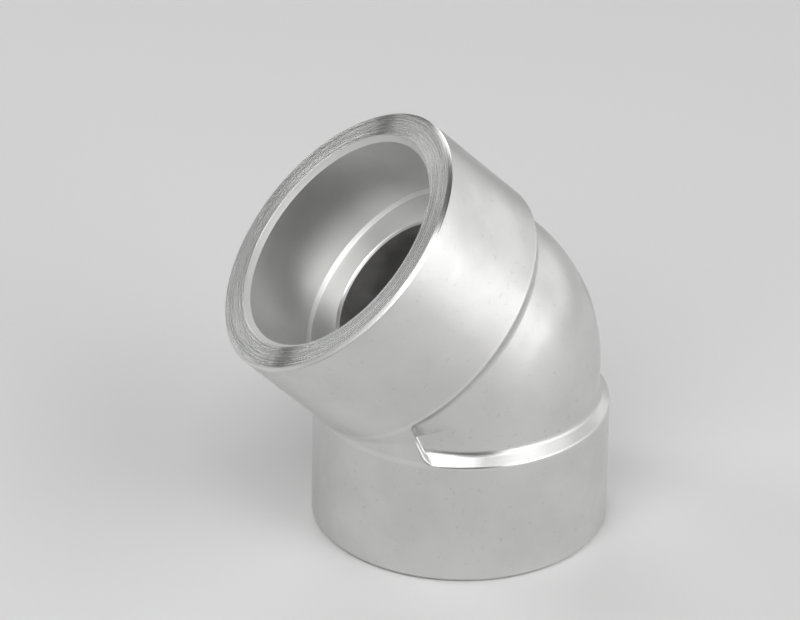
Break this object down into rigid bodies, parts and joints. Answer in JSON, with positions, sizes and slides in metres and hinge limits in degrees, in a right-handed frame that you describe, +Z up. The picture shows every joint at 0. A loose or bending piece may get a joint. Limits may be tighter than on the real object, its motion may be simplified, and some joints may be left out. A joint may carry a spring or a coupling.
{
  "type": "forty-five degree pipe elbow",
  "caption": "Forged forty-five degree pipe elbow with a stepped blind socket in each end, for joining equal pipes by socket welding.",
  "frame": {"origin": "centre of the lower mouth, on the flat face that the elbow stands on", "axes": "+Z runs up the lower leg's axis from its mouth to the bend, the upper leg leans 45 degrees from +Z towards -X, and the XZ plane is the mirror plane"},
  "size_m": [0.0565, 0.0434, 0.0628],
  "materials": {
    "forged_steel": "satin grey forged skin, with turned mouth faces, sockets and flow bores"
  },
  "bodies": {
    "root": {"elbow": "forged_steel"}
  },
  "joints": []
}
